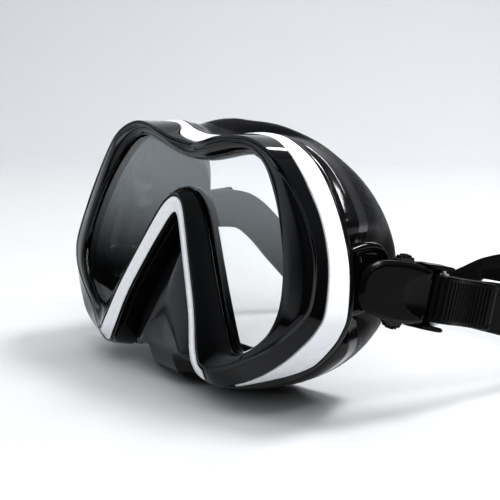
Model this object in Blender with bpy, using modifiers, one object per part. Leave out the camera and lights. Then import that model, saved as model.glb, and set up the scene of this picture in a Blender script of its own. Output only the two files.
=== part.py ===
"""A single-pane diving mask: tempered pane, ridged front bezel, rear frame with a white accent band,
moulded silicone skirt with a nose pocket, and a one-piece head strap held by two swivelling
squeeze-button buckles. The front faces -Y, the strap runs to +Y, and the mask rests on Z = 0.
Shapes are worked out in mm with Y from the pane's centre; add_mesh shifts them so that the origin
lies under the middle of the whole, strap included."""

import math

import bpy
from mathutils import Vector

MM = 0.001
PANE_FROM_ORIGIN = Vector((0, -77.0, -0.2))  # where the pane's foot point lies in the world, in mm
STATION_STEPS = 2  # loft stations between two rows of the outlines below

# Pane: tempered glass, leaning back
PANE_RAKE = math.radians(11.5)
PANE_HEIGHT = 42.0  # height of the pane's centre over the floor
PANE_THICKNESS = 4.0
PANE_MARGIN = 2.5  # glass hidden under the bezel
PANE_BEVEL = 0.5  # ground edge round the pane's front face
FIT_GAP = 0.4
OVER_GLASS = 0.45  # gap between the glass and the bezel's lip

# Half outlines from the top centre, round the side and up the nose notch to its apex.
# Rows are (across, up in the pane's plane, out of the pane's plane), in mm.
PANE_EDGE = (
    (0, 40.6, 0), (10, 41.3, 0), (20, 43.2, 0), (30, 45.2, 0), (39, 45.6, 0), (47, 42.6, 0),
    (53.5, 36.8, 0), (60, 28.5, 0), (65.5, 18.5, 0), (69.5, 7.5, 0), (70.3, -2.5, 0),
    (67, -10.6, 0), (60.5, -16.4, 0), (55.5, -19.3, 0), (51.5, -20.9, 0), (48, -21, 0),
    (45.3, -19.8, 0), (42.6, -16.8, 0), (34, -5.5, 0), (25, 7.2, 0), (15, 21.5, 0),
    (7.5, 28, 0), (0, 30, 0),
)
CREST = (
    (0, 45.3, 3.2), (11, 46.2, 5.2), (21, 48.5, 6), (30, 49.8, 5.4), (40, 49.9, 4.4),
    (50, 47.4, 3.5), (58, 43.2, 2.6), (66, 36.6, 0.8), (74.5, 26.8, -1.2), (81.2, 14.8, -2.3),
    (83.9, 1.4, -1.7), (80.7, -5.6, -0.6), (74.5, -11.6, 0.3), (66.5, -17.2, 0.6),
    (56, -22.8, 1.5), (45.5, -28, 4), (37.5, -29.2, 6.2), (33.5, -24.5, 7.1), (27.1, -10.6, 6.8),
    (17.9, 4.8, 6.5), (9.0, 18.9, 6.0), (4.6, 24.1, 5.6), (0, 26.0, 5.4),
)
SHOULDER = (
    (0, 46.5, 1.7), (13, 48.3, 0.9), (21.6, 51.5, -4.4), (30.5, 52.4, -6), (41, 51.6, -5.6),
    (50.8, 48.8, -4.4), (59.6, 44.8, -3), (69, 37.7, -3), (78, 27.4, -4), (85, 14.8, -4.3),
    (87.9, 0.5, -4), (86, -6.2, -3.3), (81, -12.4, -2.5), (73, -19.8, -1.4), (62.8, -26.6, 0),
    (50, -31.8, 0.5), (36, -34, 2.8), (28.2, -28.4, 5.6), (22.1, -13.6, 5.8), (12.9, 1.9, 5.5),
    (5.4, 13.4, 5), (2.4, 17.6, 4.8), (0, 19.2, 4.7),
)
REAR_RIM = (
    (0, 50.3, -5.5), (12.6, 51.1, -7), (21.6, 52.6, -8.5), (30, 53.6, -10), (40, 53, -11),
    (50.5, 49.8, -11.5), (59.5, 45.2, -12), (69, 37.9, -12), (78, 27.5, -12.5),
    (85, 14.9, -13.2), (87.9, 0.5, -13.6), (86, -6.4, -13.8), (81, -12.7, -14.3),
    (73, -20.1, -14.2), (62.8, -26.9, -12.2), (50, -32.2, -9), (38, -34.6, -6.5),
    (29, -29.4, -5.2), (22.8, -13.8, -5), (13.6, 1.8, -5), (6, 13.3, -5), (2.8, 17.4, -5),
    (0, 18.9, -5),
)
# Rearmost line of the skirt, where it meets the face, in world axes from the pane's centre.
SEAL_LINE = (
    (0, 33, 52), (10, 33.2, 52), (20, 34.2, 51), (29, 36, 48.5), (38, 38.8, 44.5),
    (44.5, 41.8, 40), (49.5, 45.4, 35.2), (54, 49, 28.2), (58.5, 51.2, 19.6), (62, 52, 9.8),
    (64, 50, 0), (62.5, 49, -9), (58, 47, -17.5), (51, 44, -25), (43, 40.5, -31),
    (35, 37.5, -35.6), (30, 36, -38.4), (25, 34.8, -40), (19, 33.6, -40.6), (13, 32.6, -40.8),
    (7, 32, -40.8), (3.5, 31.8, -40.8), (0, 31.7, -40.8),
)
BAND_TIP = 15  # outline row where the accent band ends under the mask
NOSE_START = 17  # outline row where the bottom of the nose leg is rounded
TRIM_START = 16  # outline row where the nose trim begins, under the lens
BAND_THICKNESS = 1.6
TRIM_DEPTH = 1.2
TRIM_INSET = 0.2  # from the crest down to the trim's bed
TRIM_LEDGE = 0.17  # share of the facet left black between the trim and the notch
TRIM_CROWN = 0.4  # how far the trim's rounded face stands over the ridge
RIDGE_HALF = 0.6  # half width of the ridge where there is no trim
SKIRT_THICKNESS = 1.8
SKIRT_BEAD = 6.0  # depth of the thick ring behind the frame
DENT_DEPTHS = (0, 0, 0, 1.5, 4, 9.4, 11.4, 12, 11.2, 9.4, 6.5, 2.5, 0, 0, 0)  # hollow for the buckle
DENT_UPPER = (7.9, 8.6)
DENT_LOWER = (11.2, 12.2)

# Buckles: local axes are out (x), along the strap (y) and across the strap (z)
PIVOT = (81.0, 28.0, PANE_HEIGHT + 4.0)
SWIVEL = {"right": math.radians(-14), "left": math.radians(4)}
SIDES = {"right": 1, "left": -1}
ROLLER_ALONG = 25.5
ROLLER_OUT = 2.6
ROLLER_RADIUS = 2.2
ROLLER_PIN_RADIUS = 1.1
PIVOT_RADIUS = 3.2
PAWL_ALONG = 17.4
PAWL_OUT = 2.4
PAWL_OUTLINE = ((1.75, -1.36), (2.83, -1.92), (3.73, -1.28), (4, 0), (3.73, 1.12), (2.56, 1.52),
                (1.66, 0.8))
PAWL_HALF_LENGTH = 8.4
ROLLER_HALF_LENGTH = 8.7
PIN_HALF_LENGTH = 10.6
PIN_PROFILE = ((3.2, -4.6), (3.2, 1.3), (4.7, 1.3), (4.7, 2.3), (3.8, 2.9))  # radius, out
ROUND_STEPS = 20
# Half outlines of (along, across) points
COVER_HALF = ((-9.4, 3.8), (-7.8, 6.4), (-3.5, 9), (4, 10), (11, 10), (17, 9.4), (19.6, 9))
PLATE_HALF = ((-6.2, 1.8), (-4.6, 4.6), (-1.6, 6.3), (5, 8.8), (14, 9.8), (16, 10.9), (26, 11.2),
              (28, 11.1), (29, 10.4), (28.6, 9.6), (27.6, 9.2), (19.4, 9.2), (18.6, 8.6))
ARM_HALF = ((19.8, 9.4), (27.4, 9.4), (28.4, 9.8), (28.8, 10.4), (28, 11), (26, 11.1),
            (17, 10.8), (17, 10), (19.8, 10))
BUTTON_HALF = ((5.6, 6.4), (5.6, 8), (4.4, 8.6), (4.4, 11.4), (5.4, 12.2), (6.2, 11.7),
               (7, 12.6), (7.9, 11.9), (8.8, 12.7), (9.7, 11.8), (10.6, 12.4), (11.8, 11.2),
               (12.6, 8.4), (11.4, 7.8), (11.4, 6.4))
ARM_OUT = 5.2
COVER_OUT = (4.6, 6.6)
PLATE_OUT = (-1.0, 1.0)
# Rows of the mount: along Y, lean, outer face, lowest and highest from the pane's centre, thickness
MOUNT_ROWS = ((16.4, 0.2, 86.2, -7, 14, 2.8), (17.6, 0.16, 84.6, -7, 15.4, 2.8),
              (19, 0.06, 81.4, -6.6, 16.4, 2.6), (20.6, 0, 79.6, -5.8, 17.2, 2.6),
              (24, 0, 79.3, -5.2, 18, 2.6), (28, 0, 79.2, -4.2, 18.3, 2.6),
              (31.5, 0, 79.2, -2.8, 17.6, 2.6), (34, 0, 79.2, -1.2, 15.4, 2.6),
              (35.6, 0, 79.2, 0.4, 12, 2.6))
BUTTON_OUT = (1.4, 4.2)
COVER_EDGE = 0.9  # height of the cover's bevel
POST_ALONG = 13.2
POST_RADIUS = 1.4
DISH_ALONG = 10.6
DISH_RINGS = ((1, 7.4), (0, 7.4), (-0.55, 6.2), (-0.9, 4.2), (-1.05, 2))  # rise, radius

# Strap
STRAP_THICKNESS = 2.0
STRAP_WIDTH = 16.0
PAD_WIDTH = 32.0
TAIL_LENGTH = {"right": 26.0, "left": 24.0}
LAYER_GAP = 0.6
STRAP_BACK = 165.0  # how far the rear pad reaches behind the pane's centre
SLOT_HALF = 3.0
SLOT_END = 19.0


def clear_scene():
    for obj in list(bpy.data.objects):
        bpy.data.objects.remove(obj)
    for collection in list(bpy.data.collections):
        bpy.data.collections.remove(collection)


def make_collections():
    parts = bpy.data.collections.new("diving_mask")
    cutters = bpy.data.collections.new("cutters")
    bpy.context.scene.collection.children.link(parts)
    bpy.context.scene.collection.children.link(cutters)
    return parts, cutters


def make_material(name, colour, roughness, metallic=0.0, transmission=0.0):
    material = bpy.data.materials.new(name)
    material.use_nodes = True
    shader = material.node_tree.nodes["Principled BSDF"]
    shader.inputs["Base Color"].default_value = (*colour, 1)
    shader.inputs["Roughness"].default_value = roughness
    shader.inputs["Metallic"].default_value = metallic
    shader.inputs["Transmission Weight"].default_value = transmission
    return material


def volume_of(mesh):
    mesh.calc_loop_triangles()
    points = [vertex.co for vertex in mesh.vertices]
    total = 0.0
    for triangle in mesh.loop_triangles:
        a, b, c = (points[i] for i in triangle.vertices)
        total += a.dot(b.cross(c))
    return total


def add_mesh(name, points, faces, look, origin=(0, 0, 0), smooth=True, collection=None):
    """An object whose points are given in mm in world axes, with its origin at the given point."""
    start = Vector(origin)
    mesh = bpy.data.meshes.new(name)
    mesh.from_pydata([(Vector(p) - start) * MM for p in points], [], faces)
    if volume_of(mesh) < 0:
        mesh.flip_normals()
    if smooth:
        mesh.shade_smooth()
    else:
        mesh.shade_flat()
    mesh.materials.append(look)
    obj = bpy.data.objects.new(name, mesh)
    obj.location = (start + PANE_FROM_ORIGIN) * MM
    (collection or PARTS).objects.link(obj)
    return obj


def boolean(obj, cutter, operation="DIFFERENCE"):
    cutter.hide_render = True
    cutter.display_type = "WIRE"
    modifier = obj.modifiers.new(cutter.name, "BOOLEAN")
    modifier.operation = operation
    modifier.solver = "EXACT"
    modifier.object = cutter


# --- outlines -------------------------------------------------------------------------------


def lerp(a, b, t):
    return tuple(x + (y - x) * t for x, y in zip(a, b))


def mirrored(p):
    return (-p[0], *p[1:])


def spline_point(a, b, c, d, t):
    """Catmull-Rom between b and c."""
    return tuple(
        0.5 * (2 * q + (r - p) * t + (2 * p - 5 * q + 4 * r - s) * t**2
               + (3 * q - p - 3 * r + s) * t**3)
        for p, q, r, s in zip(a, b, c, d)
    )


def smooth_line(rows, before, after, steps):
    line = [before, *rows, after]
    found = []
    for i in range(1, len(line) - 2):
        found += [spline_point(*line[i - 1:i + 3], k / steps) for k in range(steps)]
    return [*found, rows[-1]]


def half_outline(rows):
    return smooth_line(rows, mirrored(rows[1]), mirrored(rows[-2]), STATION_STEPS)


def outset(line, distance):
    """Moves a half outline sideways in the pane's plane, away from the glass."""
    around = [mirrored(line[1]), *line, mirrored(line[-2])]
    moved = []
    for before, (u, v, w), after in zip(around, line, around[2:]):
        across, up = after[0] - before[0], after[1] - before[1]
        length = math.hypot(across, up)
        moved.append((u - up / length * distance, v + across / length * distance, w))
    return moved


def at_depth(line, depth):
    depths = depth if isinstance(depth, list) else [depth] * len(line)
    return [(u, v, w) for (u, v, _), w in zip(line, depths)]


def deeper(line, by):
    return [(u, v, w - by) for u, v, w in line]


def mixed(first, second, share):
    shares = share if isinstance(share, list) else [share] * len(first)
    return [lerp(a, b, t) for a, b, t in zip(first, second, shares)]


def whole(half):
    return half + [mirrored(p) for p in half[-2:0:-1]]


def to_world(p):
    u, v, w = p
    sine, cosine = math.sin(PANE_RAKE), math.cos(PANE_RAKE)
    return (u, v * sine - w * cosine, PANE_HEIGHT + v * cosine + w * sine)


def to_pane(p):
    """The inverse of to_world for a point measured from the pane's centre."""
    x, y, z = p
    sine, cosine = math.sin(PANE_RAKE), math.cos(PANE_RAKE)
    return (x, y * sine + z * cosine, z * sine - y * cosine)


def ramp(start, end):
    """0 before one outline row, 1 after another, for every station."""
    last = (len(PANE_EDGE) - 1) * STATION_STEPS
    rows = [i / STATION_STEPS for i in range(last + 1)]
    shares = [min(1.0, max(0.0, (row - start) / (end - start))) for row in rows]
    return [t * t * (3 - 2 * t) for t in shares]


# --- lofts ----------------------------------------------------------------------------------


def loft(lines, closed_across):
    """Quads between neighbouring lines of points, each line being a closed loop."""
    count = len(lines[0])
    points = [p for line in lines for p in line]
    faces = []
    for k in range(len(lines) if closed_across else len(lines) - 1):
        here, there = k * count, (k + 1) % len(lines) * count
        for i in range(count):
            j = (i + 1) % count
            faces.append((here + i, here + j, there + j, there + i))
    return points, faces


def capped(lines):
    """A loft whose first and last lines are closed with flat faces."""
    points, faces = loft(lines, False)
    count = len(lines[0])
    last = len(points) - count
    faces += [tuple(range(count - 1, -1, -1)), tuple(range(last, last + count))]
    return points, faces


def ring(name, halves, look):
    lines = [[to_world(p) for p in whole(half)] for half in halves]
    return add_mesh(name, *loft(lines, True), look)


def strip_over_centre(name, halves, last, look):
    """A strip along the outline from one side's end, across the centre, to the other side's."""
    right = [[to_world(half[i]) for half in halves] for i in range(last + 1)]
    left = [[to_world(mirrored(half[i])) for half in halves] for i in range(last, 0, -1)]
    return add_mesh(name, *capped(left + right), look)


# --- front ----------------------------------------------------------------------------------


def front_lines():
    pane = half_outline(PANE_EDGE)
    crest = half_outline(CREST)
    shoulder = half_outline(SHOULDER)
    rim = half_outline(REAR_RIM)
    return pane, crest, shoulder, rim


def add_pane(pane, look):
    face = whole(outset(pane, -PANE_BEVEL))
    edge = whole(outset(pane, PANE_MARGIN))
    lines = [[to_world((u, v, -depth)) for u, v, _ in outline]
             for outline, depth in ((face, 0), (edge, PANE_BEVEL), (edge, PANE_THICKNESS))]
    return add_mesh("lens_pane", *capped(lines), look, smooth=False)


def trim_recess():
    """How far the bezel steps down to bed the nose trim, for every station."""
    return [TRIM_DEPTH * t for t in ramp(TRIM_START - 0.5, TRIM_START)]


def trim_edge(crest):
    """The outer side of the ridge, which draws back from the crest to make room for the trim."""
    share = [d / TRIM_DEPTH for d in trim_recess()]
    return outset_by(crest, [RIDGE_HALF + (TRIM_INSET - RIDGE_HALF) * t for t in share])


def add_bezel(pane, crest, shoulder, look):
    recess = trim_recess()
    trim_top = [(u, v, w - d) for (u, v, w), d in zip(trim_edge(crest), recess)]
    trim_low = [(u, v, w - d) for (u, v, w), d in zip(shoulder, recess)]
    lip = at_depth(pane, OVER_GLASS)
    slope = at_depth(outset(pane, 0.4), 1.3)
    inner = deeper(mixed(slope, crest, 0.6), 0.7)
    under = deeper(outset(trim_low, -0.3), 0.5)
    seat = at_depth(outset(pane, 3.3), OVER_GLASS)
    halves = [lip, slope, inner, outset(crest, -0.8), trim_top, trim_low, under, seat]
    return ring("front_bezel", halves, look)


def add_nose_trim(crest, shoulder, look):
    outer, inner = outset(crest, TRIM_INSET + 0.15), mixed(shoulder, crest, TRIM_LEDGE)
    last = len(crest) - 1
    first = round(TRIM_START * STATION_STEPS)
    crown = deeper(mixed(outer, inner, 0.35), -TRIM_CROWN)
    lines = (deeper(outer, -TRIM_CROWN / 2), crown, deeper(inner, 0.3), deeper(inner, 0.85),
             deeper(outer, 0.85))
    halves = [line[first:] for line in lines]
    turned = [half[::-1] for half in halves]
    return strip_over_centre("nose_trim", turned, last - first, look)


def parting(pane, shoulder, inwards, drop):
    """A line under the bezel, some way in from its edge and a little below its rear face."""
    edge = [(u, v, w - d)
            for (u, v, w), d in zip(deeper(outset(shoulder, -0.3), 0.5), trim_recess())]
    seat = at_depth(outset(pane, 3.3), OVER_GLASS)
    distances = inwards if isinstance(inwards, list) else [inwards] * len(pane)
    line = [lerp(a, b, d / math.dist(a, b)) for a, b, d in zip(edge, seat, distances)]
    return deeper(line, drop)


def band_depths(pane, shoulder, rim):
    """Front and rear depths of the accent band; the two meet at its tips."""
    front = [w for _, _, w in parting(pane, shoulder, 0, 0.6)]
    rear = [w + 0.3 for _, _, w in rim]
    closing = ramp(BAND_TIP - 2.2, BAND_TIP)
    rear = [b + (f - 1.2 - b) * t for f, b, t in zip(front, rear, closing)]
    return front, rear


def add_accent_band(pane, shoulder, rim, look):
    front, rear = band_depths(pane, shoulder, rim)
    head = at_depth(shoulder, front)
    tail = at_depth(mixed(shoulder, rim, 0.9), rear)
    inner_head = parting(pane, shoulder, BAND_THICKNESS - 0.3, 0.6)
    halves = [head, inner_head, outset(tail, -BAND_THICKNESS), tail]
    return strip_over_centre("accent_band", halves, BAND_TIP * STATION_STEPS, look)


def add_frame(pane, shoulder, rim, look):
    _, rear = band_depths(pane, shoulder, rim)
    ending = ramp(BAND_TIP, BAND_TIP + 0.6)
    bed = [(BAND_THICKNESS + FIT_GAP) * (1 - t) + 0.25 * t for t in ending]
    nose = ramp(BAND_TIP + 0.5, BAND_TIP + 1.5)
    top = parting(pane, shoulder, [d - 0.2 for d in bed], 2 * FIT_GAP)
    wall = at_depth(outset_by(mixed(shoulder, rim, 0.9), [-d for d in bed]),
                    [w - FIT_GAP for w in rear])
    flange = at_depth(mixed(shoulder, rim, 0.95), [w - FIT_GAP for w in rear])
    back = deeper(rim, 1.8)
    inner_back = outset_by(back, [-4 + 2.2 * t for t in nose])
    hollow = [max(-7.2, w - 1.5) for _, _, w in rim]
    corner = at_depth(outset_by(mixed(shoulder, rim, 0.95), [-4.4 + 2 * t for t in nose]), hollow)
    rebate = outset(pane, PANE_MARGIN + FIT_GAP)
    halves = [at_depth(rebate, -0.6), at_depth(rebate, hollow), corner, inner_back, back, flange,
              wall, top]
    return ring("main_frame", halves, look)


def outset_by(line, distances):
    nearest = outset(line, 1.0)
    return [(u + (x - u) * d, v + (y - v) * d, w)
            for (u, v, w), (x, y, _), d in zip(line, nearest, distances)]


# --- skirt ----------------------------------------------------------------------------------


def skirt_rows(pane, shoulder, rim):
    """Lines of the skirt's outer face, from behind the glass to the lip that meets the face."""
    seal = half_outline([to_pane(p) for p in SEAL_LINE])
    hollow = [max(-7.2, w - 1.5) for _, _, w in rim]
    below = [w - 0.5 for w in hollow]
    behind = [w - 2.3 for _, _, w in rim]
    nose = ramp(NOSE_START - 1, NOSE_START + 0.2)
    climb = [-8 + 4.4 * t for t in ramp(NOSE_START - 0.2, NOSE_START + 0.8)]
    dent = [a * (1 - b) for a, b in zip(ramp(*DENT_UPPER), ramp(*DENT_LOWER))]
    centred = [u / 28.2 for u, _, _ in shoulder]
    edge = outset(rim, 0.9)
    target = [(9.5 * c, -29.5, 0.6) for c in centred]
    chin = [(9 * c, -36.2, -2.4) for c in centred]
    base = [(10 * c, -39.2, -9) for c in centred]
    heel = [(14 * c, -37.4, -21) for c in centred]
    near_bead = at_depth(outset(rim, -0.7), [w - SKIRT_BEAD for w in behind])
    bulge = outset(mixed(near_bead, seal, 0.5), 1.6)
    rows = [
        (at_depth(outset(pane, -0.3), -4.4), None),
        (at_depth(outset(pane, 2.5), -4.4), None),
        (at_depth(outset(pane, 2.5), [min(-6.6, w) for w in below]), None),
        (at_depth(outset(rim, -5), [min(a, b + 2.6) for a, b in zip(below, behind)]),
         at_depth(outset(rim, -2.6), behind)),
        (at_depth(outset(rim, -4.8), behind), at_depth(edge, behind)),
        (at_depth(outset(rim, -0.8), [w - 0.3 for w in behind]), at_depth(edge, climb)),
        (at_depth(outset(rim, -0.2), [w - SKIRT_BEAD / 2 for w in behind]),
         at_depth(mixed(edge, target, 0.3), -0.4)),
        (near_bead, at_depth(mixed(edge, target, 0.7), 1.6)),
        (mixed(near_bead, outset(bulge, -0.4), 0.1), target),
        (outset(mixed(near_bead, seal, 0.25), 0.6), chin),
        (bulge, base),
        (outset(mixed(near_bead, seal, 0.78), 1.2), heel),
        (seal, None),
        (deeper(outset(seal, -4.5), -1.2), None),
        (deeper(outset(seal, -9), -4), None),
    ]
    found = [usual if special is None else mixed(usual, special, nose) for usual, special in rows]
    return [outset_by(line, [-depth * t for t in dent]) for line, depth in zip(found, DENT_DEPTHS)]


def add_skirt(pane, shoulder, rim, look):
    lines = [[to_world(p) for p in whole(half)] for half in skirt_rows(pane, shoulder, rim)]
    points, faces = loft(lines, False)
    obj = add_mesh("skirt", points, faces, look)
    facing = obj.data.polygons[0].normal
    if facing.y > 0:
        obj.data.flip_normals()
    shell = obj.modifiers.new("wall", "SOLIDIFY")
    shell.thickness = SKIRT_THICKNESS * MM
    shell.offset = -1
    return obj


# --- buckles --------------------------------------------------------------------------------


def placed(side, p):
    """A buckle point (out, along, across) turned to its swivel angle, in world mm."""
    out, along, across = p
    angle = SWIVEL[side]
    cosine, sine = math.cos(angle), math.sin(angle)
    x, y, z = PIVOT
    return (SIDES[side] * (x + out), y + along * cosine - across * sine,
            z + along * sine + across * cosine)


def circle(radius, centre=(0, 0), steps=ROUND_STEPS):
    angles = [2 * math.pi * k / steps for k in range(steps)]
    return [(centre[0] + radius * math.cos(t), centre[1] + radius * math.sin(t)) for t in angles]


def slab(side, name, outline, depths, look, origin=(0, 0, 0), collection=None):
    """An outline of (along, across) points extruded between two distances out."""
    lines = [[placed(side, (out, a, b)) for a, b in outline] for out in depths]
    return add_mesh(name, *capped(lines), look, placed(side, origin), False, collection)


def bar(side, name, radius, half_length, look, bore=0.0, collection=None):
    """A round bar lying across the strap on the roller's axis, with a bore when one is given."""
    ends = [(radius, -half_length), (radius, half_length)]
    if bore:
        ends += [(bore, half_length), (bore, -half_length)]
    lines = [[placed(side, (out, along, z)) for out, along in
              circle(r, (ROLLER_OUT, ROLLER_ALONG), 16)] for r, z in ends]
    points, faces = loft(lines, True) if bore else capped(lines)
    start = placed(side, (ROLLER_OUT, ROLLER_ALONG, 0))
    return add_mesh(name, points, faces, look, start, collection=collection)


def both_ways(half):
    return [*half, *((a, -b) for a, b in reversed(half))]


def add_buckle_body(side):
    body = slab(side, f"buckle_body_{side}", both_ways(PLATE_HALF), PLATE_OUT, GLOSS_BLACK)
    for up in (1, -1):
        outline = [(a, up * b) for a, b in ARM_HALF]
        arm = slab(side, f"arm_{side}_{up}", outline, (0, ARM_OUT), GLOSS_BLACK, collection=CUTTERS)
        boolean(body, arm, "UNION")
    hole = slab(side, f"pivot_hole_{side}", circle(PIVOT_RADIUS + FIT_GAP), (-3, 3), GLOSS_BLACK,
                collection=CUTTERS)
    boolean(body, hole)
    pin_hole = bar(side, f"pin_hole_{side}", ROLLER_PIN_RADIUS + 0.3, 14, GLOSS_BLACK,
                   collection=CUTTERS)
    boolean(body, pin_hole)


def add_buckle_cover(side):
    outline = both_ways(COVER_HALF)
    outer = [(a * 0.93 + 0.6, b * 0.88) for a, b in outline]
    near, far = COVER_OUT
    lines = [[placed(side, (out, a, b)) for a, b in edge]
             for out, edge in ((near, outline), (far - COVER_EDGE, outline), (far, outer))]
    cover = add_mesh(f"buckle_cover_{side}", *capped(lines), GLOSS_BLACK,
                     placed(side, (0, 0, 0)), False)
    dish = add_mesh(f"dish_{side}", *capped(dish_lines(side)), GLOSS_BLACK, collection=CUTTERS)
    boolean(cover, dish)
    post = slab(side, f"post_{side}", circle(POST_RADIUS, (POST_ALONG, 0), 10),
                (PLATE_OUT[1] + 0.3, near + 0.5), GLOSS_BLACK, collection=CUTTERS)
    boolean(cover, post, "UNION")


def dish_lines(side):
    """Rings of the shallow lens that hollows the cover for a fingertip."""
    return [[placed(side, (COVER_OUT[1] + rise, a, b)) for a, b in circle(radius, (DISH_ALONG, 0))]
            for rise, radius in DISH_RINGS]


def add_buttons(side):
    for name, up in (("upper", 1), ("lower", -1)):
        outline = [(a, up * b) for a, b in BUTTON_HALF]
        slab(side, f"button_{name}_{side}", outline, BUTTON_OUT, GLOSS_BLACK, (0, 8, up * 8))


def add_pawl(side):
    """A bar with a tooth that bears on the strap's ribs; it turns about its own axis."""
    lines = [[placed(side, (out, PAWL_ALONG + along, z)) for out, along in PAWL_OUTLINE]
             for z in (-PAWL_HALF_LENGTH, PAWL_HALF_LENGTH)]
    start = placed(side, (PAWL_OUT, PAWL_ALONG, 0))
    add_mesh(f"latch_pawl_{side}", *capped(lines), STEEL, start)


def add_mount(side):
    """The wing that carries the buckle, from the frame's rear edge back to the pivot."""
    sections = []
    for y, lean, x, low, high, thick in MOUNT_ROWS:
        bottom, top = PANE_HEIGHT + low, PANE_HEIGHT + high
        outer, inner = x, x - thick
        sections.append([(SIDES[side] * px, y + lean * (pz - PANE_HEIGHT), pz) for px, pz in (
            (inner, bottom), (outer - 0.5, bottom), (outer, bottom + 1.4), (outer, top - 1.4),
            (outer - 0.5, top), (inner, top))])
    mount = add_mesh(f"buckle_mount_{side}", *capped(sections), GLOSS_BLACK)
    hole = slab(side, f"mount_hole_{side}", circle(PIVOT_RADIUS + 0.3), (-9, 3), GLOSS_BLACK,
                collection=CUTTERS)
    boolean(mount, hole)


def add_pivot_pin(side):
    lines = [[placed(side, (out, a, b)) for a, b in circle(radius)] for radius, out in PIN_PROFILE]
    add_mesh(f"pivot_pin_{side}", *capped(lines), GLOSS_BLACK, placed(side, (0, 0, 0)))


# --- strap ----------------------------------------------------------------------------------


def strap_rows():
    """Centre line of the strap from the left tail round both rollers to the right tail.
    Each row is a point, the direction across the strap, and its width."""
    wrap = ROLLER_RADIUS + FIT_GAP + STRAP_THICKNESS / 2
    rows = {}
    for side in SIDES:
        across = Vector(placed(side, (0, 0, 1))) - Vector(placed(side, (0, 0, 0)))
        inner = ROLLER_OUT - wrap
        tail_out = inner + STRAP_THICKNESS + LAYER_GAP
        tail = [(tail_out, ROLLER_ALONG + TAIL_LENGTH[side]), (tail_out + 0.3, ROLLER_ALONG + 15),
                (tail_out + 1.9, ROLLER_ALONG + 9), (ROLLER_OUT + wrap - 0.7, ROLLER_ALONG + 4)]
        turn = [(ROLLER_OUT + wrap * math.cos(t), ROLLER_ALONG - wrap * math.sin(t))
                for t in (math.pi * k / 8 for k in range(9))]
        main = [(inner, ROLLER_ALONG + 8), (inner, ROLLER_ALONG + 16)]
        rows[side] = [(Vector(placed(side, (out, along, 0))), across, STRAP_WIDTH)
                      for out, along in (*tail, *turn, *main)]
    rows["right"].append((Vector((79.6, 80, 33)), Vector((0, 0.24, 1)), 17.4))
    back = [
        (Vector((-79.6, 80.5, 47)), Vector((0, 0.3, 1)), 16),
        (Vector((-79, 89.5, 40)), Vector((0, 1, 1)), 16),
        (Vector((-77, 99, 28.6)), Vector((0, 1, 0.9)), 16),
        (Vector((-73.4, 110.5, 17.4)), Vector((0.1, 0.8, 1)), 16.5),
        (Vector((-65.5, 127, 11.2)), Vector((0, 0.3, 1)), 17),
        (Vector((-52, 144.5, 9.4)), Vector((0, 0, 1)), 17),
        (Vector((-34, 157.5, 10.6)), Vector((0, 0, 1)), 19.6),
        (Vector((-16, 163.4, 14.8)), Vector((0, 0, 1)), 28),
        (Vector((0, STRAP_BACK, PAD_WIDTH / 2 + 0.4)), Vector((0, 0, 1)), PAD_WIDTH),
        (Vector((16, 163.4, 15.8)), Vector((0, 0, 1)), 30),
        (Vector((34, 157.5, 13.8)), Vector((0, 0, 1)), 24),
        (Vector((52, 144.5, 15.6)), Vector((0, 0.1, 1)), 20),
        (Vector((65.5, 128, 19.8)), Vector((0, 0.2, 1)), 19),
        (Vector((73.6, 110.5, 24.6)), Vector((0, 0.24, 1)), 18.6),
        (Vector((77.8, 94, 29.2)), Vector((0, 0.26, 1)), 18.4),
    ]
    return [*rows["left"], *back, *reversed(rows["right"])]


def add_strap():
    rows = strap_rows()
    flat = [(*point, *across.normalized(), width) for point, across, width in rows]
    line = smooth_line(flat, flat[0], flat[-1], 2)
    sections = []
    for before, row, after in zip([line[0], *line], line, [*line[1:], line[-1]]):
        point, across, width = Vector(row[:3]), Vector(row[3:6]).normalized(), row[6]
        ahead = (Vector(after[:3]) - Vector(before[:3])).normalized()
        outward = ahead.cross(across).normalized()
        across = outward.cross(ahead).normalized()
        half, thick = width / 2, STRAP_THICKNESS / 2
        corners = ((-half, -thick), (half, -thick), (half, thick), (-half, thick))
        sections.append([point + across * a + outward * b for a, b in corners])
    strap = add_mesh("head_strap", *capped(sections), SILICONE, (0, PIVOT[1], PIVOT[2]))
    boolean(strap, pad_slot_cutter())


def pad_slot_cutter():
    """A long hole with round ends, along the rear pad."""
    end = [(SLOT_END + SLOT_HALF * math.cos(t), SLOT_HALF * math.sin(t))
           for t in (math.pi * (k / 6 - 0.5) for k in range(7))]
    outline = end + [(-x, -z) for x, z in end]
    depths = (STRAP_BACK - 15, STRAP_BACK + 15)
    lines = [[(x, y, PAD_WIDTH / 2 + z) for x, z in outline] for y in depths]
    return add_mesh("pad_slot", *capped(lines), SILICONE, collection=CUTTERS)


clear_scene()
PARTS, CUTTERS = make_collections()
GLASS = make_material("tempered_glass", (0.9, 0.95, 0.95), 0.02, transmission=1.0)
GLOSS_BLACK = make_material("gloss_black_polymer", (0.01, 0.01, 0.012), 0.15)
WHITE = make_material("white_polymer", (0.85, 0.85, 0.86), 0.2)
SILICONE = make_material("black_silicone", (0.015, 0.015, 0.016), 0.5)
STEEL = make_material("stainless_steel", (0.55, 0.55, 0.56), 0.3, metallic=1.0)

PANE, CREST_LINE, SHOULDER_LINE, RIM = front_lines()
add_pane(PANE, GLASS)
add_bezel(PANE, CREST_LINE, SHOULDER_LINE, GLOSS_BLACK)
add_nose_trim(CREST_LINE, SHOULDER_LINE, WHITE)
add_accent_band(PANE, SHOULDER_LINE, RIM, WHITE)
add_frame(PANE, SHOULDER_LINE, RIM, GLOSS_BLACK)
add_skirt(PANE, SHOULDER_LINE, RIM, SILICONE)

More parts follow.
